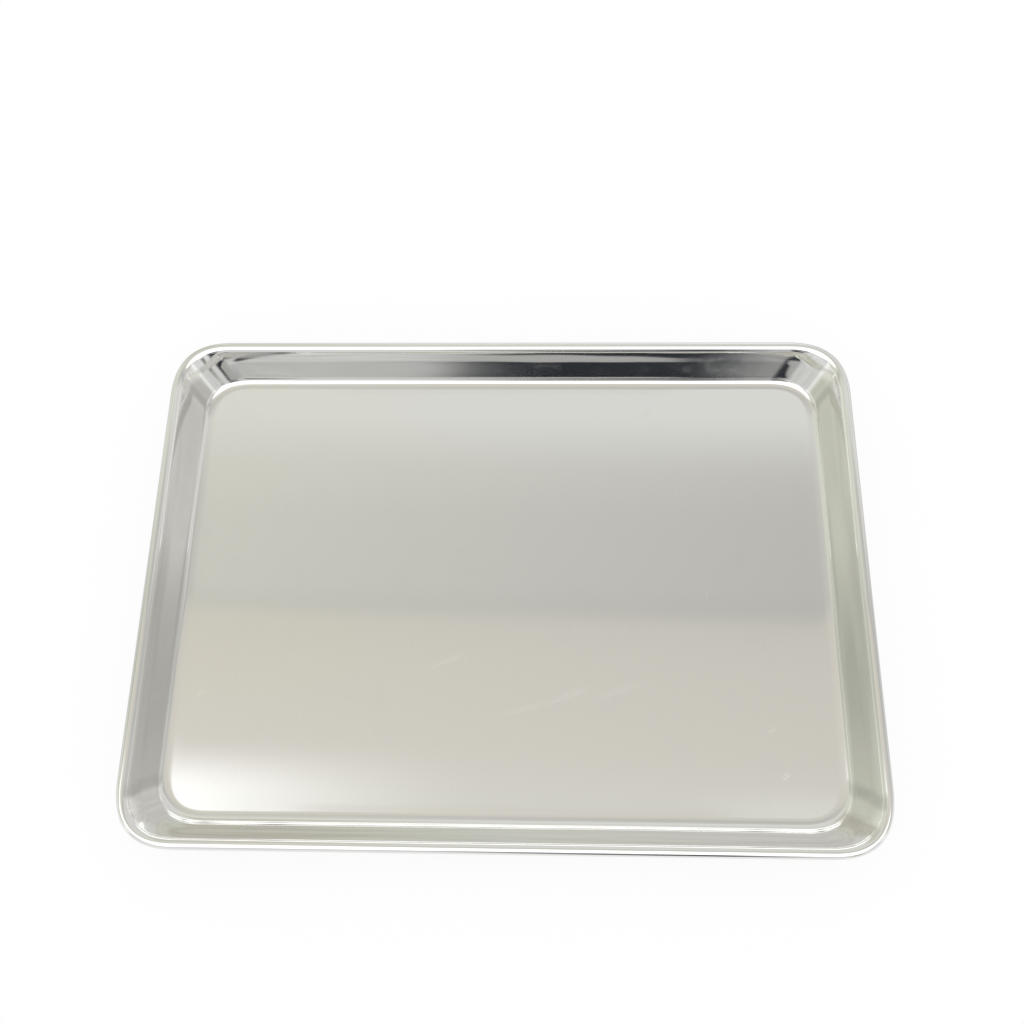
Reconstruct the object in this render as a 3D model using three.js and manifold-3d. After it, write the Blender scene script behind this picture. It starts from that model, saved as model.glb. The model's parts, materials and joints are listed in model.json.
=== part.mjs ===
// Half-size sheet pan: a shallow tray drawn from one aluminium sheet, its rim rolled over a steel wire.
// Millimetres, +Z up. The origin is on the underside of the floor, at its middle.
import * as THREE from "three";
import { mergeVertices } from "three/addons/utils/BufferGeometryUtils.js";
import Module from "manifold-3d";

// Driving dimensions
const RIM_LENGTH = 457; // along X, over the outside of the rolled rim
const RIM_WIDTH = 330; // along Y, over the outside of the rolled rim
const PAN_HEIGHT = 30.5; // from the underside of the floor to the top of the rim
const SHEET_THICKNESS = 1.2;
const FLOOR_INSET = 22.8; // seen from above, from the outside of the rim to the edge of the flat floor
const FLOOR_EASE_RADIUS = 20; // inside the pan, the gentle bend along the edge of the flat floor
const FLOOR_EASE_ANGLE = 13; // degrees, the slope at which the fillet takes over from that bend
const FLOOR_FILLET_RADIUS = 4.5; // inside the pan, between the gentle bend and the wall
const FLOOR_CORNER_RADIUS = 19.5; // edge of the flat floor, seen from above
const RIM_CORNER_RADIUS = 32.5; // outside of the rolled rim, seen from above
const WIRE_DIAMETER = 4;
const WIRE_CLEARANCE = 0.3; // all round, between the wire and the sheet that is rolled over it
const WIRE_BUTT_GAP = 1.5; // between the two cut ends of the wire, at the middle of the back side
const CURL_SLOT = 1; // under the rim, between the cut edge of the sheet and the outside of the wall

// Facets
const CORNER_STEPS = 10; // along each corner of the pan
const EASE_STEPS = 3; // along the gentle bend
const FILLET_STEPS = 6; // along the fillet
const CURL_STEPS = 6; // along each quarter of the rolled rim
const WIRE_SIDES = 16;

// The section through one side of the pan, in its own plane: x runs outwards from the edge of the flat
// floor and y runs up from the underside of the floor. The sheet's middle surface leaves the floor on the
// gentle bend, turns up on the fillet, runs straight up the wall and turns back on itself round the wire.
const quarterTurn = Math.PI / 2;
const halfSheet = SHEET_THICKNESS / 2;
const easeSlope = THREE.MathUtils.degToRad(FLOOR_EASE_ANGLE);
const easeRadius = FLOOR_EASE_RADIUS + halfSheet;
const filletRadius = FLOOR_FILLET_RADIUS + halfSheet;
const boreRadius = WIRE_DIAMETER / 2 + WIRE_CLEARANCE;
const curlRadius = boreRadius + halfSheet;
const rimRadius = boreRadius + SHEET_THICKNESS;

// Towards the sheet's upper face: up on the floor, into the pan on the wall, away from the wire on the rim.
const faceNormal = (slope) => new THREE.Vector2(-Math.sin(slope), Math.cos(slope));

const easeCentre = new THREE.Vector2(0, halfSheet + easeRadius);
const filletCentre = easeCentre.clone().addScaledVector(faceNormal(easeSlope), filletRadius - easeRadius);
const curlCentre = new THREE.Vector2(FLOOR_INSET - rimRadius, PAN_HEIGHT - rimRadius);

// The wall lies on the line that touches the fillet on one side and the curl on the other.
const betweenBends = curlCentre.clone().sub(filletCentre);
const wallSlope = betweenBends.angle() + Math.asin((filletRadius + curlRadius) / betweenBends.length());

// The curl stops where its outer corner is still the slot's width away from the outside of the wall.
const curlTurn = 2 * Math.PI - Math.acos((boreRadius - CURL_SLOT) / rimRadius);

const wallTop = curlCentre.clone().addScaledVector(faceNormal(wallSlope), curlRadius);

// Corner radius, seen from above, of what runs beside the rim at one distance all the way round.
const radiusBesideRim = (x) => RIM_CORNER_RADIUS - FLOOR_INSET + x;

// Corner radius of the sheet below the rim. The corners open out from the floor to the top of the wall.
const radiusOnWall = (x) =>
  THREE.MathUtils.lerp(FLOOR_CORNER_RADIUS, radiusBesideRim(wallTop.x), x / wallTop.x);

// Places along the sheet's middle surface, from the edge of the floor to the cut edge under the rim.
function sheetStations() {
  const stations = [];
  for (let step = 0; step <= EASE_STEPS; step++) {
    const normal = faceNormal((easeSlope * step) / EASE_STEPS);
    const middle = easeCentre.clone().addScaledVector(normal, -easeRadius);
    stations.push({ middle, normal, cornerRadius: radiusOnWall(middle.x) });
  }
  for (let step = 1; step <= FILLET_STEPS; step++) {
    const normal = faceNormal(THREE.MathUtils.lerp(easeSlope, wallSlope, step / FILLET_STEPS));
    const middle = filletCentre.clone().addScaledVector(normal, -filletRadius);
    stations.push({ middle, normal, cornerRadius: radiusOnWall(middle.x) });
  }
  for (const slope of curlSlopes()) {
    const normal = faceNormal(slope);
    const middle = curlCentre.clone().addScaledVector(normal, curlRadius);
    stations.push({ middle, normal, cornerRadius: radiusBesideRim(middle.x) });
  }
  return stations;
}

// Slopes of the sheet round the wire. It passes the top, the outside and the underside of the rim exactly.
function curlSlopes() {
  const marks = [wallSlope, 0, -quarterTurn, -2 * quarterTurn, wallSlope - curlTurn];
  const slopes = [wallSlope];
  for (let mark = 1; mark < marks.length; mark++) {
    for (let step = 1; step <= CURL_STEPS; step++) {
      slopes.push(THREE.MathUtils.lerp(marks[mark - 1], marks[mark], step / CURL_STEPS));
    }
  }
  return slopes;
}

// One loop round the pan at a place in the section: a rectangle with round corners, at one height,
// counter-clockwise from above.
function ringAt(place, cornerRadius) {
  const cornerX = RIM_LENGTH / 2 - FLOOR_INSET + place.x - cornerRadius;
  const cornerY = RIM_WIDTH / 2 - FLOOR_INSET + place.x - cornerRadius;
  const outline = new THREE.Path()
    .absarc(cornerX, cornerY, cornerRadius, 0, quarterTurn)
    .absarc(-cornerX, cornerY, cornerRadius, quarterTurn, 2 * quarterTurn)
    .absarc(-cornerX, -cornerY, cornerRadius, 2 * quarterTurn, 3 * quarterTurn)
    .absarc(cornerX, -cornerY, cornerRadius, 3 * quarterTurn, 4 * quarterTurn);
  const stepsPerHalfCorner = CORNER_STEPS / 2;
  const points = outline.getPoints(stepsPerHalfCorner);
  return points.map((point) => new THREE.Vector3(point.x, point.y, place.y));
}

// Skins a list of rings. A closed loft joins its last ring to its first, and an open one gets a flat lid
// on its first ring and on its last.
function loft(rings, closed) {
  const sides = rings[0].length;
  const last = rings.length - 1;
  const positions = rings.flat().flatMap((point) => point.toArray());
  const indices = [];
  const corner = (ring, side) => (ring % rings.length) * sides + (side % sides);
  for (let ring = 0; ring < (closed ? rings.length : last); ring++) {
    for (let side = 0; side < sides; side++) {
      indices.push(corner(ring, side), corner(ring + 1, side), corner(ring + 1, side + 1));
      indices.push(corner(ring, side), corner(ring + 1, side + 1), corner(ring, side + 1));
    }
  }
  if (!closed) {
    for (const [a, b, c] of THREE.ShapeUtils.triangulateShape(rings[0], [])) {
      indices.push(corner(0, a), corner(0, b), corner(0, c));
    }
    for (const [a, b, c] of THREE.ShapeUtils.triangulateShape(rings[last], [])) {
      indices.push(corner(last, c), corner(last, b), corner(last, a));
    }
  }
  const geometry = new THREE.BufferGeometry();
  geometry.setAttribute("position", new THREE.Float32BufferAttribute(positions, 3));
  geometry.setIndex(indices);
  geometry.computeVertexNormals();
  return geometry;
}

const wasm = await Module();
wasm.setup();

// A closed geometry as a solid that can be cut.
function solidOf(geometry) {
  const bare = geometry.clone();
  bare.deleteAttribute("normal");
  bare.deleteAttribute("uv");
  const merged = mergeVertices(bare);
  const vertProperties = new Float32Array(merged.getAttribute("position").array);
  const triVerts = new Uint32Array(merged.getIndex().array);
  return new wasm.Manifold(new wasm.Mesh({ numProp: 3, vertProperties, triVerts }));
}

// A solid as a geometry that can be drawn.
function geometryOf(solid) {
  const mesh = solid.getMesh();
  const geometry = new THREE.BufferGeometry();
  geometry.setAttribute("position", new THREE.BufferAttribute(mesh.vertProperties, mesh.numProp));
  geometry.setIndex(new THREE.BufferAttribute(mesh.triVerts, 1));
  geometry.computeVertexNormals();
  return geometry;
}

const brightAluminium = new THREE.MeshStandardMaterial({ color: 0xd3d2c8, roughness: 0.25, metalness: 1 });
const galvanisedSteel = new THREE.MeshStandardMaterial({ color: 0x9a9c9e, roughness: 0.45, metalness: 1 });

// The drawn sheet: the floor, the sloping walls and the rolled rim in one piece of even thickness.
function panBody() {
  const stations = sheetStations();
  const face = (offset) =>
    stations.map(({ middle, normal, cornerRadius }) =>
      ringAt(middle.clone().addScaledVector(normal, offset), cornerRadius + offset * normal.x),
    );
  const upperFace = face(halfSheet);
  const lowerFace = face(-halfSheet).reverse();
  const body = new THREE.Mesh(loft([...upperFace, ...lowerFace], false), brightAluminium);
  body.name = "pan_body";
  return body;
}

// The wire inside the rolled rim: one length bent to the rim's outline, with its two ends butted together.
function rimWire() {
  const rings = [];
  for (let side = 0; side < WIRE_SIDES; side++) {
    const normal = faceNormal((-4 * quarterTurn * side) / WIRE_SIDES);
    const place = curlCentre.clone().addScaledVector(normal, WIRE_DIAMETER / 2);
    rings.push(ringAt(place, radiusBesideRim(place.x)));
  }
  const butt = new THREE.BoxGeometry(WIRE_BUTT_GAP, 2 * WIRE_DIAMETER, 2 * WIRE_DIAMETER);
  butt.translate(0, RIM_WIDTH / 2 - rimRadius, curlCentre.y);
  const bentWire = solidOf(loft(rings, true)).subtract(solidOf(butt));
  const wire = new THREE.Mesh(geometryOf(bentWire), galvanisedSteel);
  wire.name = "rim_wire";
  return wire;
}

const sheetPan = new THREE.Group();
sheetPan.add(panBody(), rimWire());

export default sheetPan;
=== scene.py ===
import json
import math

import bpy
from mathutils import Euler, Matrix, Vector, noise


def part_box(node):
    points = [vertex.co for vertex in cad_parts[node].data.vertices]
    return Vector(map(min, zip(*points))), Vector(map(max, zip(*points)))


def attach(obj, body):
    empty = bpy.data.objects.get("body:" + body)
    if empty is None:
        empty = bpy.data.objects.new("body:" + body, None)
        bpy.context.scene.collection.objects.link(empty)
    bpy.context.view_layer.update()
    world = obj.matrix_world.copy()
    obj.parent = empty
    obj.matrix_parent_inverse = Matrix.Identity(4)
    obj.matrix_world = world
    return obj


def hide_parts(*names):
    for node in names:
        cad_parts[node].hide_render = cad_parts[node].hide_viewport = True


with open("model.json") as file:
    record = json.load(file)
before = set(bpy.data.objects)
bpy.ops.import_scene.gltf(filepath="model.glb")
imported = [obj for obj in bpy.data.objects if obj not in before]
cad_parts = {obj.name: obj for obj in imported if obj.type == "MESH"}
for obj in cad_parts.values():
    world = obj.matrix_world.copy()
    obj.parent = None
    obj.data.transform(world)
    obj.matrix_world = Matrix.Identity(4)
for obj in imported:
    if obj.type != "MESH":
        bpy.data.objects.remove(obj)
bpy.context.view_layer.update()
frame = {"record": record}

# Half-size sheet pan: one drawn aluminium sheet with its rim rolled over a steel wire.
# Metres, +Z up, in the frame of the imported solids. Angles that are given as numbers are in degrees.
MM = 0.001

# Sizes of the pan that the frame gives
body_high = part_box("pan_body")[1]
wire_low, wire_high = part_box("rim_wire")
half_length = body_high.x
half_width = body_high.y
pan_height = body_high.z
wire_radius = (wire_high.z - wire_low.z) / 2
rim_radius = pan_height - (wire_high.z + wire_low.z) / 2
mount_places = {mount["name"]: mount["pos_m"] for mount in frame["record"]["mounts"]}
sheet_thickness = mount_places["tray_floor"][2]

# Sizes of the pan that the frame does not name
FLOOR_INSET = 22.8 * MM
FLOOR_EASE_RADIUS = 20 * MM
FLOOR_EASE_ANGLE = 13
FLOOR_FILLET_RADIUS = 4.5 * MM
FLOOR_CORNER_RADIUS = 19.5 * MM
RIM_CORNER_RADIUS = 32.5 * MM
CURL_SLOT = 1 * MM
WIRE_BUTT_GAP = 1.5 * MM

# Soft bend and shoulder at the top of the wall, where the sheet starts to turn over into the rim.
# Each ends at its angle.
FLARE_RADIUS = 60 * MM
FLARE_ANGLE = 63.3
SHOULDER_RADIUS = 5 * MM
SHOULDER_ANGLE = 36

# How much rounder the drawn corners are where they are roundest, in the lower half of the wall,
# and the powers by which that comes and goes from the floor to the rim.
CORNER_BULGE = 3 * MM
BULGE_POWERS = (2, 3)

# How much of the corners' bend swells from their ends to their middle, seen from above.
CORNER_SWELL = 0.5

# Fineness of the meshes. A corner is summed up in smaller moves than the steps that are kept of it.
CORNER_STEPS = 40
CORNER_SUMS = 16
LONG_SIDE_STEPS = 44
SHORT_SIDE_STEPS = 32
FLOOR_MARGINS = (9 * MM, 7.5 * MM, 6 * MM, 5 * MM, 4 * MM, 3 * MM, 2 * MM, 1 * MM, 0.3 * MM)
EASE_STEPS = 10
FILLET_STEPS = 16
WALL_STEPS = 12
FLARE_STEPS = 12
SHOULDER_STEPS = 12
CURL_STEPS = 52
WIRE_SIDES = 28
SHARP_ANGLE = 40

# How far the drawn sheet strays from its true shape. A pair is where along the sheet, or how far from
# the pan's middle, a stray comes in or goes out: where that starts and where it ends.
FLOOR_WARP = 0.05 * MM
FLOOR_WARP_WAVE = 140 * MM
FLOOR_WARP_LAYER = 3.1
WALL_WARP = 0.16 * MM
WALL_WARP_WAVE = 38 * MM
WALL_WARP_LAYER = 7.7
WALL_WARP_START = (4 * MM, 14 * MM)
WALL_WARP_END = (26 * MM, 35 * MM)
RUN_OUT = 0.13 * MM
RUN_OUT_START = (-6 * MM, 4 * MM)
RUN_OUT_END = (4 * MM, 30 * MM)
RUN_OUT_CORNER_X = (100 * MM, 165 * MM)
RUN_OUT_CORNER_Y = (70 * MM, 115 * MM)

# Camera
IMAGE_SIZE = 1024
SENSOR_WIDTH = 36
LENS = 33.333
CLIP_START = 10 * MM
CAMERA_PLACE = Vector((0.02284, -0.14885, 0.60726))
CAMERA_TURN = Euler([math.radians(angle) for angle in (18.3303, 1.5628, 0.7843)])


# Section through one side of the pan. Its x runs outwards from the edge of the flat floor, its y runs up.

quarter_turn = math.pi / 2
full_turn = 4 * quarter_turn
half_sheet = sheet_thickness / 2


def face_normal(slope):
    """Unit normal of the sheet's upper face where the sheet has this slope."""
    return Vector((-math.sin(slope), math.cos(slope)))


ease_slope = math.radians(FLOOR_EASE_ANGLE)
flare_slope = math.radians(FLARE_ANGLE)
shoulder_slope = math.radians(SHOULDER_ANGLE)
ease_radius = FLOOR_EASE_RADIUS + half_sheet
fillet_radius = FLOOR_FILLET_RADIUS + half_sheet
bore_radius = rim_radius - sheet_thickness
curl_radius = rim_radius - half_sheet
ease_centre = Vector((0, half_sheet + ease_radius))
fillet_centre = ease_centre + (fillet_radius - ease_radius) * face_normal(ease_slope)
curl_centre = Vector((FLOOR_INSET - rim_radius, pan_height - rim_radius))
shoulder_centre = curl_centre + (curl_radius - SHOULDER_RADIUS) * face_normal(shoulder_slope)
flare_centre = shoulder_centre + (SHOULDER_RADIUS - FLARE_RADIUS) * face_normal(flare_slope)

# The wall lies on the line that touches the fillet on one side and the soft bend on the other.
between_bends = flare_centre - fillet_centre
wall_slope = math.atan2(between_bends.y, between_bends.x)
wall_slope += math.asin((fillet_radius + FLARE_RADIUS) / between_bends.length)
wall_foot = fillet_centre - fillet_radius * face_normal(wall_slope)
wall_head = flare_centre + FLARE_RADIUS * face_normal(wall_slope)
rim_start = curl_centre + curl_radius * face_normal(shoulder_slope)

# The curl stops where its outer corner is still the slot's width away from the outside of the wall.
curl_end = wall_slope - full_turn + math.acos((bore_radius - CURL_SLOT) / rim_radius)


def radius_beside_rim(x):
    """Corner radius of what runs beside the rim at one distance all the way round."""
    return RIM_CORNER_RADIUS - FLOOR_INSET + x


def bulge_share(share):
    """Share of the corners' bulge at a share of the way from the floor's edge to the rim."""
    rise, fall = BULGE_POWERS
    peak = rise / (rise + fall)
    return (share / peak) ** rise * ((1 - share) / (1 - peak)) ** fall


def radius_on_wall(x):
    """Corner radius of the sheet below the rim: the corners open out from the floor to the wall's top."""
    share = x / rim_start.x
    opening = radius_beside_rim(rim_start.x) - FLOOR_CORNER_RADIUS
    return FLOOR_CORNER_RADIUS + share * opening + CORNER_BULGE * bulge_share(share)


class Station:
    """Place along the sheet's middle surface, with its run along the sheet from the floor's edge."""

    def __init__(self, middle, slope, run, corner_radius=None):
        self.middle = middle
        self.normal = face_normal(slope)
        self.run = run
        self.corner_radius = radius_on_wall(middle.x) if corner_radius is None else corner_radius


def bend_stations(centre, radius, slopes, steps, run, beside_rim=False):
    """Stations along a bend. Its radius counts as negative where the bend turns up, like the fillet."""
    first_slope, last_slope = slopes
    stations = []
    for step in range(1, steps + 1):
        slope = first_slope + (last_slope - first_slope) * step / steps
        middle = centre + radius * face_normal(slope)
        corner_radius = radius_beside_rim(middle.x) if beside_rim else None
        stations.append(Station(middle, slope, run + radius * (first_slope - slope), corner_radius))
    return stations


def sheet_stations():
    """Places along the sheet's middle surface, from just inside the floor's edge to the cut edge."""
    stations = []
    for margin in FLOOR_MARGINS:
        stations.append(Station(Vector((-margin, half_sheet)), 0, -margin, FLOOR_CORNER_RADIUS - margin))
    stations.append(Station(Vector((0, half_sheet)), 0, 0))
    stations += bend_stations(ease_centre, -ease_radius, (0, ease_slope), EASE_STEPS, 0)
    run = stations[-1].run
    stations += bend_stations(fillet_centre, -fillet_radius, (ease_slope, wall_slope), FILLET_STEPS, run)
    run = stations[-1].run
    wall_length = (wall_head - wall_foot).length
    for step in range(1, WALL_STEPS + 1):
        share = step / WALL_STEPS
        stations.append(Station(wall_foot.lerp(wall_head, share), wall_slope, run + wall_length * share))
    run += wall_length
    stations += bend_stations(flare_centre, FLARE_RADIUS, (wall_slope, flare_slope), FLARE_STEPS, run)
    run = stations[-1].run
    shoulder_slopes = (flare_slope, shoulder_slope)
    stations += bend_stations(shoulder_centre, SHOULDER_RADIUS, shoulder_slopes, SHOULDER_STEPS, run)
    run = stations[-1].run
    stations += bend_stations(curl_centre, curl_radius, (shoulder_slope, curl_end), CURL_STEPS, run, True)
    return stations


def corner_curve():
    """Offsets from the corner's centre and outward directions along a corner of unit radius.

    Its bend swells to the middle, which it shares with the quarter circle.
    """

    def angle_at(share):
        return quarter_turn * (share - CORNER_SWELL * math.sin(full_turn * share) / full_turn)

    sums = CORNER_STEPS * CORNER_SUMS
    travel = [Vector((0, 0))]
    for number in range(sums):
        angle = angle_at((number + 0.5) / sums)
        travel.append(travel[-1] + Vector((-math.sin(angle), math.cos(angle))))
    scale = (math.cos(quarter_turn / 2) - 1) / travel[sums // 2].x
    start = Vector((1, 1 - scale * travel[-1].y))
    curve = []
    for step in range(CORNER_STEPS + 1):
        angle = angle_at(step / CORNER_STEPS)
        offset = start + scale * travel[step * CORNER_SUMS]
        curve.append((offset, Vector((math.cos(angle), math.sin(angle)))))
    return curve


def ring_places():
    """Places round the pan, counter-clockwise from above.

    Each one has its share of the way to the corners' centres along X and Y, its offset from there for a
    corner of unit radius, and its outward direction.
    """
    corners = [Vector(signs) for signs in ((1, 1), (-1, 1), (-1, -1), (1, -1))]
    side_steps = (LONG_SIDE_STEPS, SHORT_SIDE_STEPS)
    curve = corner_curve()
    places = []
    for quarter, corner in enumerate(corners):
        turn = Matrix.Rotation(quarter_turn * quarter, 2)
        for offset, outward in curve:
            places.append((corner, turn @ offset, turn @ outward))
        last_offset, outward = places[-1][1:]
        next_corner = corners[(quarter + 1) % len(corners)]
        next_offset = Matrix.Rotation(quarter_turn * (quarter + 1), 2) @ curve[0][0]
        steps = side_steps[quarter % 2]
        for step in range(1, steps):
            share = step / steps
            places.append((corner.lerp(next_corner, share), last_offset.lerp(next_offset, share), outward))
    return places


PLACES = ring_places()
SIDES = len(PLACES)


def ring_point(place, x, corner_radius):
    """Point round the pan, seen from above, at x outwards from the floor's edge."""
    share, offset, _ = place
    reach_x = half_length - FLOOR_INSET + x - corner_radius
    reach_y = half_width - FLOOR_INSET + x - corner_radius
    return Vector((share.x * reach_x, share.y * reach_y)) + corner_radius * offset


def smooth_step(value, low, high):
    """Zero below low and one above high, with a smooth rise between them."""
    share = min(max((value - low) / (high - low), 0), 1)
    return share * share * (3 - 2 * share)


def sheet_warp(flat, run):
    """How far the sheet stands off its true shape: faint waves, upwards on the floor, none on the rim."""
    wall_share = smooth_step(run, *WALL_WARP_START)
    rim_share = smooth_step(run, *WALL_WARP_END)
    floor_wave = 0.5 + 0.5 * noise.noise(Vector((*flat / FLOOR_WARP_WAVE, FLOOR_WARP_LAYER)))
    wall_wave = noise.noise(Vector((*flat / WALL_WARP_WAVE, WALL_WARP_LAYER)))
    warp = FLOOR_WARP * floor_wave * (1 - wall_share) + WALL_WARP * wall_wave * wall_share
    corner_share = smooth_step(abs(flat.x), *RUN_OUT_CORNER_X)
    corner_share *= smooth_step(abs(flat.y), *RUN_OUT_CORNER_Y)
    run_out = RUN_OUT * smooth_step(run, *RUN_OUT_START) * (1 - smooth_step(run, *RUN_OUT_END))
    run_out *= 1 - corner_share
    return warp * (1 - rim_share) + run_out


class SheetMesh:
    """Points, faces and flat (unrolled) places of the drawn sheet."""

    # How far aside the underside lies on the unrolled sheet, clear of the upper face.
    FACE_SHIFT = 0.7

    # Run that stands for every place well inside the floor's edge.
    INNER_RUN = -1

    def __init__(self):
        self.points = []
        self.flats = []
        self.faces = []

    def add_point(self, plan, level, flat, run, normal, offset):
        """Adds a point of the face that lies offset from the sheet's middle, and returns its number."""
        place, outward = plan
        stand_off = offset + sheet_warp(flat, run)
        place = place + outward * normal.x * stand_off
        self.points.append((place.x, place.y, level + normal.y * stand_off))
        shift = 0 if offset > 0 else self.FACE_SHIFT
        self.flats.append((flat.x + shift, flat.y))
        return len(self.points) - 1

    def add_ring(self, station, offset):
        """Adds one loop of points round the pan, and returns their numbers."""
        middle = station.middle
        run = station.run
        ring = []
        for place in PLACES:
            outward = place[2]
            plan = ring_point(place, middle.x, station.corner_radius)
            edge = ring_point(place, 0, FLOOR_CORNER_RADIUS)
            flat = plan if run < 0 else edge + outward * run
            ring.append(self.add_point((plan, outward), middle.y, flat, run, station.normal, offset))
        return ring

    def join(self, lower, upper):
        """Skins the band between two rings."""
        for side in range(SIDES):
            after = (side + 1) % SIDES
            self.faces.append((lower[side], upper[side], upper[after], lower[after]))

    def fill(self, ring, offset):
        """Fills a ring on the floor with a grid whose sides meet at the middles of the corners."""
        half_corner = CORNER_STEPS // 2
        across = CORNER_STEPS + LONG_SIDE_STEPS
        down = CORNER_STEPS + SHORT_SIDE_STEPS
        loop = [ring[(half_corner + side) % SIDES] for side in range(SIDES)]
        back = loop[:across + 1]
        left = loop[across:across + down + 1]
        front = loop[across + down:2 * across + down + 1][::-1]
        right = (loop[2 * across + down:] + loop[:1])[::-1]

        def flat_of(number):
            return Vector((self.points[number][0], self.points[number][1]))

        grid = [right]
        for i in range(1, across):
            u = i / across
            column = [back[i]]
            for j in range(1, down):
                v = j / down
                between_ends = flat_of(back[i]) * (1 - v) + flat_of(front[i]) * v
                between_sides = flat_of(right[j]) * (1 - u) + flat_of(left[j]) * u
                ends_of_right = flat_of(right[0]) * (1 - v) + flat_of(right[-1]) * v
                ends_of_left = flat_of(left[0]) * (1 - v) + flat_of(left[-1]) * v
                flat = between_ends + between_sides - ends_of_right * (1 - u) - ends_of_left * u
                plan = (flat, Vector((0, 0)))
                number = self.add_point(plan, half_sheet, flat, self.INNER_RUN, face_normal(0), offset)
                column.append(number)
            column.append(front[i])
            grid.append(column)
        grid.append(left)
        for i in range(across):
            for j in range(down):
                self.faces.append((grid[i][j], grid[i + 1][j], grid[i + 1][j + 1], grid[i][j + 1]))


def new_piece(name, points, faces):
    mesh = bpy.data.meshes.new(name)
    mesh.from_pydata(points, [], faces)
    mesh.validate()
    piece = bpy.data.objects.new(name, mesh)
    bpy.context.scene.collection.objects.link(piece)
    return piece


def smooth(piece):
    """Shades a piece smooth, apart from its sharp edges."""
    piece.data.shade_smooth()
    piece.data.set_sharp_from_angle(angle=math.radians(SHARP_ANGLE))


def drawn_sheet():
    """The floor, the walls and the rolled rim, as one closed skin."""
    sheet = SheetMesh()
    stations = sheet_stations()
    upper = [sheet.add_ring(station, half_sheet) for station in stations]
    lower = [sheet.add_ring(station, -half_sheet) for station in stations]
    sheet.fill(upper[0], half_sheet)
    for inner, outer in zip(upper, upper[1:]):
        sheet.join(inner, outer)
    sheet.join(upper[-1], lower[-1])
    for inner, outer in zip(lower, lower[1:]):
        sheet.join(outer, inner)
    first_lower = len(sheet.faces)
    sheet.fill(lower[0], -half_sheet)
    for number in range(first_lower, len(sheet.faces)):
        sheet.faces[number] = sheet.faces[number][::-1]
    piece = new_piece("drawn_sheet", sheet.points, sheet.faces)
    layer = piece.data.uv_layers.new(name="sheet")
    for loop in piece.data.loops:
        layer.data[loop.index].uv = sheet.flats[loop.vertex_index]
    smooth(piece)
    return piece


def bent_wire():
    """The wire in the rim: one length bent to the rim's outline, its cut ends butted at the back."""
    back_middle = half_width - rim_radius
    corner_radius = radius_beside_rim(curl_centre.x)
    path = [(ring_point(place, curl_centre.x, corner_radius), place[2]) for place in PLACES]

    # The places start on the right and reach the back first, so the first one on the left is at the back.
    start = next(number for number, (point, _) in enumerate(path) if point.x < 0)
    path = path[start:] + path[:start]
    path = [step for step in path if abs(step[0].x) > WIRE_BUTT_GAP or step[0].y < 0]
    back = Vector((0, 1))
    path.insert(0, (Vector((-WIRE_BUTT_GAP / 2, back_middle)), back))
    path.append((Vector((WIRE_BUTT_GAP / 2, back_middle)), back))
    points = []
    faces = []
    for centre, outward in path:
        for side in range(WIRE_SIDES):
            angle = full_turn * side / WIRE_SIDES
            place = centre + outward * wire_radius * math.cos(angle)
            points.append((place.x, place.y, curl_centre.y + wire_radius * math.sin(angle)))
    for step in range(len(path) - 1):
        for side in range(WIRE_SIDES):
            here = step * WIRE_SIDES + side
            beside = step * WIRE_SIDES + (side + 1) % WIRE_SIDES
            faces.append((here, here + WIRE_SIDES, beside + WIRE_SIDES, beside))
    last = (len(path) - 1) * WIRE_SIDES
    faces.append(tuple(range(WIRE_SIDES)))
    faces.append(tuple(last + side for side in reversed(range(WIRE_SIDES))))
    piece = new_piece("bent_wire", points, faces)
    smooth(piece)
    return piece


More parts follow.
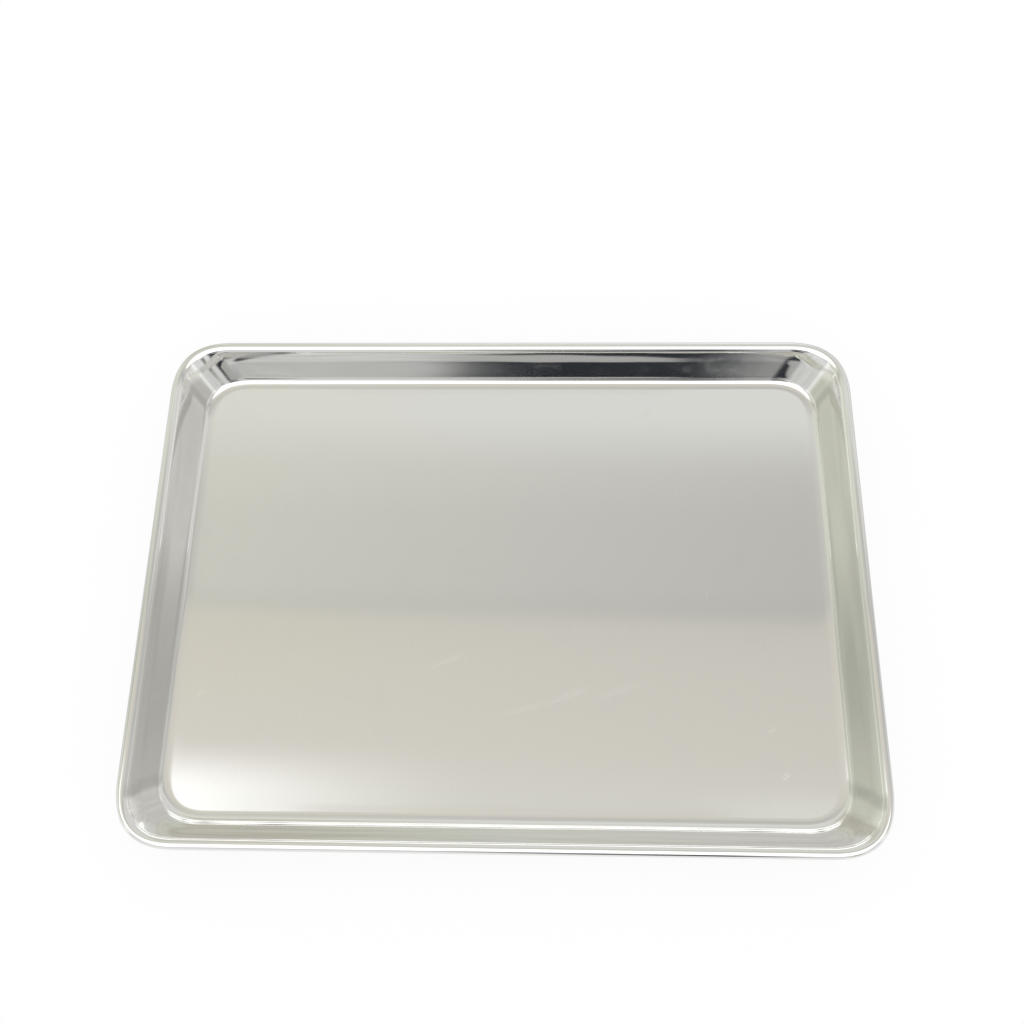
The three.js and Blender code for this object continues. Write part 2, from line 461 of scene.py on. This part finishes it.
class Graph:
    """Builds a node tree with short calls. An input is a number, a colour or another node's output."""

    # Sockets of the mix node where it mixes colours
    MIX_FACTOR = 0
    MIX_FIRST = 6
    MIX_SECOND = 7
    MIX_RESULT = 2

    def __init__(self, owner):
        owner.use_nodes = True
        self.tree = owner.node_tree
        self.tree.nodes.clear()

    def node(self, kind, settings=None, inputs=None):
        node = self.tree.nodes.new(kind)
        for name, value in (settings or {}).items():
            setattr(node, name, value)
        for name, value in (inputs or {}).items():
            self.feed(node.inputs[name], value)
        return node

    def feed(self, socket, value):
        if isinstance(value, bpy.types.NodeSocket):
            self.tree.links.new(value, socket)
        else:
            socket.default_value = value

    def math(self, operation, first, second=0.0):
        return self.node("ShaderNodeMath", {"operation": operation}, {0: first, 1: second}).outputs[0]

    def product(self, first, *others):
        """All the values multiplied together."""
        for other in others:
            first = self.math("MULTIPLY", first, other)
        return first

    def vector(self, operation, first, second=(0, 0, 0)):
        return self.node("ShaderNodeVectorMath", {"operation": operation}, {0: first, 1: second}).outputs[0]

    def dot(self, first, second):
        node = self.node("ShaderNodeVectorMath", {"operation": "DOT_PRODUCT"}, {0: first, 1: second})
        return node.outputs["Value"]

    def split(self, vector):
        return self.node("ShaderNodeSeparateXYZ", None, {0: vector}).outputs

    def join(self, x, y, z=0.0):
        return self.node("ShaderNodeCombineXYZ", None, {0: x, 1: y, 2: z}).outputs[0]

    def remap(self, value, low, high, to_low=0.0, to_high=1.0, shape="SMOOTHSTEP"):
        inputs = {"Value": value, "From Min": low, "From Max": high, "To Min": to_low, "To Max": to_high}
        return self.node("ShaderNodeMapRange", {"interpolation_type": shape}, inputs).outputs[0]

    def fade(self, value, low, high):
        """One below low and zero above high, with a smooth fall between them."""
        return self.remap(value, low, high, 1.0, 0.0)

    def between(self, value, low, high, soft):
        """One from low to high and zero outside, with soft edges."""
        rise = self.remap(value, low - soft, low + soft)
        return self.product(rise, self.fade(value, high - soft, high + soft))

    def mix(self, factor, first, second, blend="MIX"):
        node = self.node("ShaderNodeMix", {"data_type": "RGBA", "blend_type": blend})
        self.feed(node.inputs[self.MIX_FACTOR], factor)
        self.feed(node.inputs[self.MIX_FIRST], first)
        self.feed(node.inputs[self.MIX_SECOND], second)
        return node.outputs[self.MIX_RESULT]

    def gain(self, colour, level):
        """A colour made lighter or darker by a level."""
        return self.mix(1.0, colour, self.join(level, level, level), "MULTIPLY")

    def shader_mix(self, factor, first, second):
        return self.node("ShaderNodeMixShader", None, {0: factor, 1: first, 2: second}).outputs[0]

    def noise(self, vector, scale=1.0, detail=2.0, roughness=0.5):
        inputs = {"Vector": vector, "Scale": scale, "Detail": detail, "Roughness": roughness}
        return self.node("ShaderNodeTexNoise", None, inputs).outputs[0]

    def bump(self, height, strength, distance):
        inputs = {"Strength": strength, "Distance": distance, "Height": height}
        return self.node("ShaderNodeBump", None, inputs).outputs[0]

    def ramp(self, value, stops):
        node = self.node("ShaderNodeValToRGB", None, {0: value})
        elements = node.color_ramp.elements
        while len(elements) < len(stops):
            elements.new(1.0)
        for element, (position, colour) in zip(elements, stops):
            element.position = position
            element.color = colour
        return node.outputs[0]

    def surface(self, kind, shader):
        """Puts a shader on the surface of a material or a world."""
        self.node(kind, None, {"Surface": shader})


def grey(level, tint=(1, 1, 1)):
    return (*(level * part for part in tint), 1)


def floor_place(pixel):
    """Where the pan's floor shows at a pixel of the photograph, seen from above."""
    focal = LENS * IMAGE_SIZE / SENSOR_WIDTH
    ray = Vector(((pixel[0] - IMAGE_SIZE / 2) / focal, (IMAGE_SIZE / 2 - pixel[1]) / focal, -1))
    ray.rotate(CAMERA_TURN)
    reach = (sheet_thickness - CAMERA_PLACE.z) / ray.z
    return (CAMERA_PLACE + reach * ray).to_2d()


# Faint scuffs on the floor: start and end pixel in the photograph, width and strength
SCUFFS = (
    ((430, 668), (462, 655), 7 * MM, 0.8),
    ((500, 716), (545, 703), 6 * MM, 0.5),
    ((545, 706), (588, 688), 10 * MM, 0.7),
    ((595, 700), (640, 683), 9 * MM, 0.5),
    ((706, 590), (707, 601), 1.2 * MM, 1.0),
    ((766, 733), (777, 728), 5 * MM, 0.6),
    ((782, 780), (790, 774), 7 * MM, 0.8),
    ((195, 698), (204, 690), 5 * MM, 0.5),
)
SCUFF_LENGTH_SCALE = 40.0
SCUFF_WIDTH_SCALE = 1100.0
SCUFF_STROKES = (0.4, 0.62)
SCUFF_LEAST = 0.15
SCUFF_FADE = (0.5, 1.2)


def scuff_mask(graph, flat):
    """Where the floor is scuffed: bundles of fine strokes that run along each scuff."""
    clear = 1.0
    for start, end, width, strength in SCUFFS:
        first = floor_place(start)
        last = floor_place(end)
        along = (last - first).normalized()
        reach = (last - first).length / 2
        offset = graph.vector("SUBTRACT", flat, (*(first + last) / 2, 0))
        run = graph.dot(offset, (along.x, along.y, 0))
        rise = graph.dot(offset, (-along.y, along.x, 0))
        lengthwise = graph.math("MULTIPLY", run, SCUFF_LENGTH_SCALE)
        crosswise = graph.math("MULTIPLY", rise, SCUFF_WIDTH_SCALE)
        grain = graph.noise(graph.join(lengthwise, crosswise))
        strokes = graph.remap(grain, *SCUFF_STROKES, SCUFF_LEAST, strength)
        near_end = graph.fade(graph.math("ABSOLUTE", run), *(reach * share for share in SCUFF_FADE))
        near_side = graph.fade(graph.math("ABSOLUTE", rise), 0.0, width / 2)
        scuff = graph.product(near_end, near_side, strokes)
        clear = graph.math("MULTIPLY", clear, graph.math("SUBTRACT", 1.0, scuff))
    return graph.math("SUBTRACT", 1.0, clear)


# Bright rolled aluminium. Its grain runs along the sheet's width.
SHEET_DARK = (0.81, 0.806, 0.787, 1)
SHEET_LIGHT = (0.83, 0.826, 0.807, 1)
SHEET_SMUDGED = (0.79, 0.79, 0.78, 1)
SHEET_SCUFFED = (0.89, 0.89, 0.88, 1)
SHEET_ROUGHNESS = (0.06, 0.076)
SHEET_ANISOTROPY = 0.9
GRAIN_ACROSS = 700.0
GRAIN_ALONG = 9.0
GRAIN_DETAIL = 4.0
GRAIN_BREAKUP = 0.6
GRAIN_ROUGHNESS = 0.01
GRAIN_STRENGTH = 0.02
GRAIN_DEPTH = 0.02 * MM
HAZE_SCALE = 9.0
HAZE_DETAIL = 3.0
HAZE_RANGE = (0.3, 0.7)
SMUDGE_SCALE = 34.0
SMUDGE_DETAIL = 4.0
SMUDGE_BREAKUP = 0.6
SMUDGE_RANGE = (0.54, 0.72)
SMUDGE_ROUGHNESS = 0.05
SMUDGE_TONE = 0.4
SCUFF_ROUGHNESS = 0.2


def sheet_metal():
    """Bright rolled aluminium: mirror-like along the grain, hazy across it, with smudges and scuffs."""
    material = bpy.data.materials.new("bright_sheet")
    graph = Graph(material)
    flat = graph.node("ShaderNodeUVMap", {"uv_map": "sheet"}).outputs[0]
    u, v, _ = graph.split(flat)
    grain_u = graph.math("MULTIPLY", u, GRAIN_ACROSS)
    grain_v = graph.math("MULTIPLY", v, GRAIN_ALONG)
    grain = graph.noise(graph.join(grain_u, grain_v), 1.0, GRAIN_DETAIL, GRAIN_BREAKUP)
    haze = graph.noise(flat, HAZE_SCALE, HAZE_DETAIL)
    smudge = graph.remap(graph.noise(flat, SMUDGE_SCALE, SMUDGE_DETAIL, SMUDGE_BREAKUP), *SMUDGE_RANGE)
    scuffs = scuff_mask(graph, flat)
    roughness = graph.remap(haze, *HAZE_RANGE, *SHEET_ROUGHNESS)
    roughness = graph.math("ADD", roughness, graph.math("MULTIPLY", grain, GRAIN_ROUGHNESS))
    roughness = graph.math("ADD", roughness, graph.math("MULTIPLY", smudge, SMUDGE_ROUGHNESS))
    roughness = graph.math("ADD", roughness, graph.math("MULTIPLY", scuffs, SCUFF_ROUGHNESS))
    tone = graph.mix(grain, SHEET_DARK, SHEET_LIGHT)
    tone = graph.mix(graph.math("MULTIPLY", smudge, SMUDGE_TONE), tone, SHEET_SMUDGED)
    tone = graph.mix(scuffs, tone, SHEET_SCUFFED)
    tangent = graph.node("ShaderNodeTangent", {"direction_type": "UV_MAP", "uv_map": "sheet"})
    shader = graph.node("ShaderNodeBsdfPrincipled", None, {
        "Base Color": tone,
        "Metallic": 1.0,
        "Roughness": roughness,
        "Anisotropic": SHEET_ANISOTROPY,
        "Tangent": tangent.outputs[0],
        "Normal": graph.bump(grain, GRAIN_STRENGTH, GRAIN_DEPTH),
    })
    graph.surface("ShaderNodeOutputMaterial", shader.outputs[0])
    return material


# Galvanised wire
WIRE_DARK = (0.48, 0.49, 0.5, 1)
WIRE_LIGHT = (0.66, 0.67, 0.68, 1)
WIRE_ROUGHNESS = (0.34, 0.52)
CRYSTAL_SCALE = 650.0
CRYSTAL_STRENGTH = 0.2
CRYSTAL_DEPTH = 0.05 * MM


def galvanised_steel():
    """Zinc-coated wire: dull grey with small crystals."""
    material = bpy.data.materials.new("galvanised_wire")
    graph = Graph(material)
    place = graph.node("ShaderNodeTexCoord").outputs["Object"]
    crystals = graph.node("ShaderNodeTexVoronoi", None, {"Vector": place, "Scale": CRYSTAL_SCALE})
    shade = graph.split(crystals.outputs["Color"])[0]
    shader = graph.node("ShaderNodeBsdfPrincipled", None, {
        "Base Color": graph.mix(shade, WIRE_DARK, WIRE_LIGHT),
        "Metallic": 1.0,
        "Roughness": graph.remap(shade, 0.0, 1.0, *WIRE_ROUGHNESS, "LINEAR"),
        "Normal": graph.bump(shade, CRYSTAL_STRENGTH, CRYSTAL_DEPTH),
    })
    graph.surface("ShaderNodeOutputMaterial", shader.outputs[0])
    return material


# Studio floor. The pan mirrors it at the first level behind its turn and at the second one in front of it.
FLOOR_DROP = 0.2 * MM
FLOOR_REACH = 60.0
PAPER = (0.98, 0.98, 0.98, 1)
PAPER_GLOW = 0.88
MIRRORED_PAPER = (0.7, 0.96)
MIRRORED_PAPER_TURN = (-0.1, -0.17)


def stage_floor():
    """Plain white floor, drawn nearly at full white, so that only part of the pan's shadow shows.

    The pan mirrors it white in front and grey at the sides and behind.
    """
    reach = FLOOR_REACH
    corners = [(-reach, -reach, 0), (reach, -reach, 0), (reach, reach, 0), (-reach, reach, 0)]
    piece = new_piece("stage_floor", corners, [(0, 1, 2, 3)])
    piece.location.z = -FLOOR_DROP
    material = bpy.data.materials.new("stage_white")
    graph = Graph(material)
    path = graph.node("ShaderNodeLightPath").outputs
    seen = graph.math("MAXIMUM", path["Is Camera Ray"], path["Is Transmission Ray"])
    paper = graph.node("ShaderNodeBsdfDiffuse", None, {"Color": PAPER})
    glow = graph.node("ShaderNodeEmission", None, {"Color": grey(1), "Strength": 1.0})
    ahead = graph.split(graph.node("ShaderNodeTexCoord").outputs["Object"])[1]
    level = graph.remap(ahead, *MIRRORED_PAPER_TURN, *MIRRORED_PAPER)
    mirrored = graph.node("ShaderNodeEmission", None, {"Color": grey(1), "Strength": level})
    lit = graph.shader_mix(graph.math("MULTIPLY", seen, PAPER_GLOW), paper.outputs[0], glow.outputs[0])
    lit = graph.shader_mix(path["Is Glossy Ray"], lit, mirrored.outputs[0])
    clear = graph.node("ShaderNodeBsdfTransparent")
    underside = graph.node("ShaderNodeNewGeometry").outputs["Backfacing"]
    graph.surface("ShaderNodeOutputMaterial", graph.shader_mix(underside, lit, clear.outputs[0]))
    piece.data.materials.append(material)


# The room as the pan mirrors it, painted by direction. Its ceiling is measured from straight above,
# ahead (+Y) and aside (+X), for one unit of height. Its walls are measured by their bearing,
# which is the way ahead for one unit aside, and by their lift, the sine of the height angle.
# The card is measured by its turn, the way aside for one unit towards the front, and by its lift.
# A pair is where a tone starts to come in or go out and where that ends. Three numbers are the two
# ends of a band and the softness of both. Nothing is divided by less than the least reach.
DOME_RADIUS = 40.0
DOME_STEPS = 24
LEAST_REACH = 0.02

# Walls of the room
LEFT_NEAR = grey(0.75)
LEFT_MIDDLE = grey(0.6)
RIGHT_NEAR = grey(0.65)
RIGHT_MIDDLE = grey(0.55)
SIDE_FAR = grey(0.77)
LEFT_TINT = grey(1, (1, 1.025, 0.91))
RIGHT_TINT = grey(1, (1, 0.996, 0.975))
LEFT_TO_RIGHT = (-0.3, 0.3)
SIDE_FAR_BEARING = (0.21, 0.35)
LEFT_FAR_SHIFT = -0.025
SIDE_NEAR_BEARING = (0.02, 0.16)
LOW_WALL_GAIN = 1.22
LOW_WALL_LIFT = (0.16, 0.3)
LOW_WALL_AHEAD = (0.6, 0.86)
BACK_SHADE = grey(0.66, (1, 0.985, 0.87))
BACK_SHADE_BEARING = (0.8, 1.2)
BACK_SHADE_ASIDE = (-0.28, -0.08)
FRONT_LOW = grey(0.86, (1, 1.01, 1.02))
FRONT_HIGH = grey(0.68, (1, 1.01, 1.02))
FRONT_BEARING = (-0.8, -0.3)
FRONT_LIFT = (0.36, 0.46)
PATCH_SCALE = 8.0
PATCH_STRETCH = 2.2
PATCH_DETAIL = 2.5
PATCH_BREAKUP = 0.55
PATCH_RANGE = (0.3, 0.7)
PATCH_DARK_SIDE = 0.88
PATCH_DARK_FRONT = 0.8
PATCH_LIGHT = 1.12
BACK_AHEAD = (0.86, 0.93)
BACK_BAND = grey(0.85)
BACK_BAND_LIFT = (0.24, 0.5, 0.04)
BACK_LINE = grey(2.2)
BACK_LINE_LIFT = (0.17, 0.24, 0.02)
WINDOW = grey(1.2)
WINDOW_BEARING = (-0.6, -0.44, 0.13)
WINDOW_LIFT = (0.4, 0.6)
PANEL = grey(0.3, (1, 1, 0.9))
PANEL_BEARING = (-2.0, -1.4, 0.15)
PANEL_ASIDE = (0.0, 0.1)
PANEL_LIFT = (0.18, 0.3)


def studio_walls(graph, x, y, lift):
    """Grey walls, darker at the sides, with soft patches, tall windows and a pale band at the back."""
    width = graph.math("MAXIMUM", graph.math("ABSOLUTE", x), LEAST_REACH)
    bearing = graph.math("DIVIDE", y, width)
    to_right = graph.remap(x, *LEFT_TO_RIGHT)
    middle = graph.mix(to_right, LEFT_MIDDLE, RIGHT_MIDDLE)
    near = graph.mix(to_right, LEFT_NEAR, RIGHT_NEAR)
    far_bearing = graph.math("ADD", bearing, graph.remap(to_right, 0.0, 1.0, LEFT_FAR_SHIFT, 0.0))
    tones = graph.mix(graph.remap(far_bearing, *SIDE_FAR_BEARING), middle, SIDE_FAR)
    tones = graph.mix(graph.fade(bearing, *SIDE_NEAR_BEARING), tones, near)
    tones = graph.mix(1.0, tones, graph.mix(to_right, LEFT_TINT, RIGHT_TINT), "MULTIPLY")
    low_gain = graph.remap(y, *LOW_WALL_AHEAD, LOW_WALL_GAIN, 1.0)
    tones = graph.gain(tones, graph.remap(lift, *LOW_WALL_LIFT, low_gain, 1.0))
    shade = graph.product(graph.remap(bearing, *BACK_SHADE_BEARING), graph.fade(x, *BACK_SHADE_ASIDE))
    tones = graph.mix(shade, tones, BACK_SHADE)
    front = graph.fade(bearing, *FRONT_BEARING)
    tones = graph.mix(front, tones, graph.mix(graph.remap(lift, *FRONT_LIFT), FRONT_LOW, FRONT_HIGH))
    patch_place = graph.join(x, y, graph.math("MULTIPLY", lift, PATCH_STRETCH))
    patches = graph.noise(patch_place, PATCH_SCALE, PATCH_DETAIL, PATCH_BREAKUP)
    patch_dark = graph.remap(front, 0.0, 1.0, PATCH_DARK_SIDE, PATCH_DARK_FRONT)
    tones = graph.gain(tones, graph.remap(patches, *PATCH_RANGE, patch_dark, PATCH_LIGHT, "LINEAR"))
    back = graph.remap(y, *BACK_AHEAD)
    band = graph.product(back, graph.between(lift, *BACK_BAND_LIFT))
    tones = graph.mix(band, tones, BACK_BAND)
    line = graph.product(back, graph.between(lift, *BACK_LINE_LIFT))
    tones = graph.mix(line, tones, BACK_LINE)
    panes = graph.product(graph.between(bearing, *WINDOW_BEARING), graph.fade(lift, *WINDOW_LIFT))
    tones = graph.mix(panes, tones, WINDOW)
    panel = graph.product(graph.between(bearing, *PANEL_BEARING), graph.remap(x, *PANEL_ASIDE))
    panel = graph.product(panel, graph.fade(lift, *PANEL_LIFT))
    return graph.mix(panel, tones, PANEL)


# Ceiling of the room, from straight above to its far end: way ahead, level and tint
MILD = (1, 0.995, 0.925)
WARM = (1, 0.967, 0.893)
PLAIN = (1, 0.998, 0.945)
CLEAR = (1, 1.003, 0.975)
CEILING_STOPS = (
    (0.0, 0.785, MILD),
    (0.07, 0.752, WARM),
    (0.165, 0.722, WARM),
    (0.203, 0.698, WARM),
    (0.221, 0.607, PLAIN),
    (0.245, 0.635, PLAIN),
    (0.33, 0.645, PLAIN),
    (0.385, 0.69, PLAIN),
    (0.45, 0.825, CLEAR),
    (0.8, 0.8, CLEAR),
)
CEILING_EDGE = (0.74, 0.82)
CEILING_DEPTH = 0.8
CEILING_TILT = 0.0144

# How the ceiling's level changes for one unit aside, and the share of that before the step across it
SIDE_CHANGE = -0.28
SIDE_CHANGE_END = (0.36, 0.46)
SIDE_CHANGE_NEAR = 0.4
SIDE_CHANGE_STEP = (0.2, 0.225)

# How much less blue the ceiling is on the left
WARMTH = -0.04
WARMTH_ASIDE = (-0.35, 0.0)
WARMTH_AHEAD = (0.08, 0.16)

# Glow of the softbox on the ceiling, on the left and in the near right corner
GLOW_LEVEL = 0.42
GLOW_TINT = (1, 1.02, 1.1)
GLOW_ASIDE = (-0.05, -0.38)
GLOW_REACH = 1.14
GLOW_POWER = 1.7
GLOW_AHEAD = (0.025, 0.08)
CORNER_GLOW_LEVEL = 0.07
CORNER_GLOW_ASIDE = (0.15, 0.23)
CORNER_GLOW_AHEAD = (0.015, 0.04)


def studio_ceiling(graph, aside, ahead):
    """Pale ceiling with a soft step across it, lighter on the left, and with the softbox's glow."""
    tilted = graph.math("ADD", ahead, graph.math("MULTIPLY", aside, CEILING_TILT))
    share = graph.remap(tilted, 0.0, CEILING_DEPTH, shape="LINEAR")
    stops = [(place / CEILING_DEPTH, grey(level, tint)) for place, level, tint in CEILING_STOPS]
    tones = graph.ramp(share, stops)
    change = graph.remap(ahead, *SIDE_CHANGE_END, SIDE_CHANGE, 0.0)
    change = graph.product(change, graph.remap(ahead, *SIDE_CHANGE_STEP, SIDE_CHANGE_NEAR, 1.0))
    sideways = graph.math("ADD", 1.0, graph.math("MULTIPLY", aside, change))
    warmth = graph.remap(aside, *WARMTH_ASIDE, WARMTH, 0.0)
    warmth = graph.product(warmth, graph.remap(ahead, *WARMTH_AHEAD))
    levels = graph.join(sideways, sideways, graph.math("ADD", sideways, warmth))
    tones = graph.mix(1.0, tones, levels, "MULTIPLY")
    glow = graph.math("POWER", graph.remap(aside, *GLOW_ASIDE, 0.0, GLOW_REACH, "LINEAR"), GLOW_POWER)
    glow = graph.product(glow, GLOW_LEVEL, graph.fade(ahead, *GLOW_AHEAD))
    corner = graph.product(graph.remap(aside, *CORNER_GLOW_ASIDE), graph.fade(ahead, *CORNER_GLOW_AHEAD))
    glow = graph.math("ADD", glow, graph.math("MULTIPLY", corner, CORNER_GLOW_LEVEL))
    glow = graph.vector("MULTIPLY", graph.join(glow, glow, glow), GLOW_TINT)
    return graph.mix(1.0, tones, glow, "ADD")


# Softbox
SOFTBOX = grey(1.56)
SOFTBOX_FRONT = (-1.65, -1.5)
SOFTBOX_BACK = (-0.09, -0.04)
SOFTBOX_ASIDE = (0.9, 1.2)

# Dark card. It is wider above its foot, and its pale strip narrows to the right.
CARD = (0.024, 0.028, 0.038, 1)
CARD_LEFT = (-0.155, -0.055)
CARD_LEFT_SLANT = 0.1
CARD_LEFT_SLANT_LIFT = (0.05, 0.3)
CARD_RIGHT = (0.195, 0.325)
CARD_RIGHT_SLANT = 0.02
CARD_RIGHT_SLANT_LIFT = (0.3, 0.42)
CARD_AHEAD = (-0.3, -0.2)
CARD_TOP = (0.53, 0.56)
STRIP = grey(0.53)
STRIP_FOOT_TURN = (0.0, 0.165)
STRIP_FOOT = (0.225, 0.32)
STRIP_FOOT_SOFT = 0.015
STRIP_TOP = (0.41, 0.435)
STRIP_RIGHT = (0.13, 0.19)


def dark_card(graph, x, y, lift):
    """How much of the card there is in each direction, and its colours."""
    to_front = graph.math("MAXIMUM", graph.math("MULTIPLY", y, -1.0), LEAST_REACH)
    turn = graph.math("DIVIDE", x, to_front)
    left_slant = graph.remap(lift, *CARD_LEFT_SLANT_LIFT, CARD_LEFT_SLANT, 0.0)
    right_slant = graph.remap(lift, *CARD_RIGHT_SLANT_LIFT, CARD_RIGHT_SLANT, 0.0)
    card = graph.product(
        graph.remap(graph.math("SUBTRACT", turn, left_slant), *CARD_LEFT),
        graph.fade(graph.math("ADD", turn, right_slant), *CARD_RIGHT),
        graph.fade(y, *CARD_AHEAD),
        graph.fade(lift, *CARD_TOP),
    )
    strip_foot = graph.remap(turn, *STRIP_FOOT_TURN, *STRIP_FOOT, "LINEAR")
    strip = graph.product(
        graph.remap(graph.math("SUBTRACT", lift, strip_foot), -STRIP_FOOT_SOFT, STRIP_FOOT_SOFT),
        graph.fade(lift, *STRIP_TOP),
        graph.fade(turn, *STRIP_RIGHT),
    )
    return card, graph.mix(strip, CARD, STRIP)


def studio_tones(graph):
    """Colours of the room by direction: walls, ceiling, a softbox in front and a dark card below it."""
    place = graph.node("ShaderNodeTexCoord").outputs["Object"]
    x, y, lift = graph.split(graph.vector("NORMALIZE", place))
    height = graph.math("MAXIMUM", lift, LEAST_REACH)
    aside = graph.math("DIVIDE", x, height)
    ahead = graph.math("DIVIDE", y, height)
    walls = studio_walls(graph, x, y, lift)
    tones = graph.mix(graph.remap(lift, *CEILING_EDGE), walls, studio_ceiling(graph, aside, ahead))
    softbox = graph.product(
        graph.remap(ahead, *SOFTBOX_FRONT),
        graph.fade(ahead, *SOFTBOX_BACK),
        graph.fade(graph.math("ABSOLUTE", aside), *SOFTBOX_ASIDE),
    )
    tones = graph.mix(softbox, tones, SOFTBOX)
    card, card_tones = dark_card(graph, x, y, lift)
    return graph.mix(card, tones, card_tones)


def studio_dome():
    """Half sphere round the set that only mirrors see: it stands for the room and its lights."""
    points = []
    faces = []
    turns = 2 * DOME_STEPS
    for rise in range(DOME_STEPS):
        height = quarter_turn * rise / DOME_STEPS
        for turn in range(turns):
            angle = full_turn * turn / turns
            flat = DOME_RADIUS * math.cos(height)
            points.append((flat * math.cos(angle), flat * math.sin(angle), DOME_RADIUS * math.sin(height)))
    points.append((0, 0, DOME_RADIUS))
    for rise in range(DOME_STEPS - 1):
        for turn in range(turns):
            here = rise * turns + turn
            beside = rise * turns + (turn + 1) % turns
            faces.append((here, here + turns, beside + turns, beside))
    last = (DOME_STEPS - 1) * turns
    for turn in range(turns):
        faces.append((last + turn, last + turns, last + (turn + 1) % turns))
    piece = new_piece("studio_dome", points, faces)
    material = bpy.data.materials.new("studio_light")
    graph = Graph(material)
    light = graph.node("ShaderNodeEmission", None, {"Color": studio_tones(graph), "Strength": 1.0})
    graph.surface("ShaderNodeOutputMaterial", light.outputs[0])
    material.cycles.emission_sampling = "NONE"
    piece.data.materials.append(material)
    piece.visible_camera = False
    piece.visible_diffuse = False
    piece.visible_transmission = False
    piece.visible_volume_scatter = False
    piece.visible_shadow = False


WORLD_LIGHT = 1.03


def plain_world():
    """Even white light from all round, which mirrors do not see."""
    world = bpy.data.worlds.new("plain_world")
    bpy.context.scene.world = world
    graph = Graph(world)
    light = graph.node("ShaderNodeBackground", None, {"Color": grey(1), "Strength": WORLD_LIGHT})
    graph.surface("ShaderNodeOutputWorld", light.outputs[0])
    world.cycles_visibility.glossy = False


def add_camera():
    data = bpy.data.cameras.new("camera")
    data.sensor_width = SENSOR_WIDTH
    data.lens = LENS
    data.clip_start = CLIP_START
    camera = bpy.data.objects.new("camera", data)
    camera.location = CAMERA_PLACE
    camera.rotation_euler = CAMERA_TURN
    bpy.context.scene.collection.objects.link(camera)
    bpy.context.scene.camera = camera


add_camera()
plain_world()
stage_floor()
studio_dome()

sheet = drawn_sheet()
sheet.data.materials.append(sheet_metal())
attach(sheet, "root")
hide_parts("pan_body")

wire = bent_wire()
wire.data.materials.append(galvanised_steel())
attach(wire, "root")
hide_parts("rim_wire")

bpy.context.scene.view_settings.view_transform = "Standard"
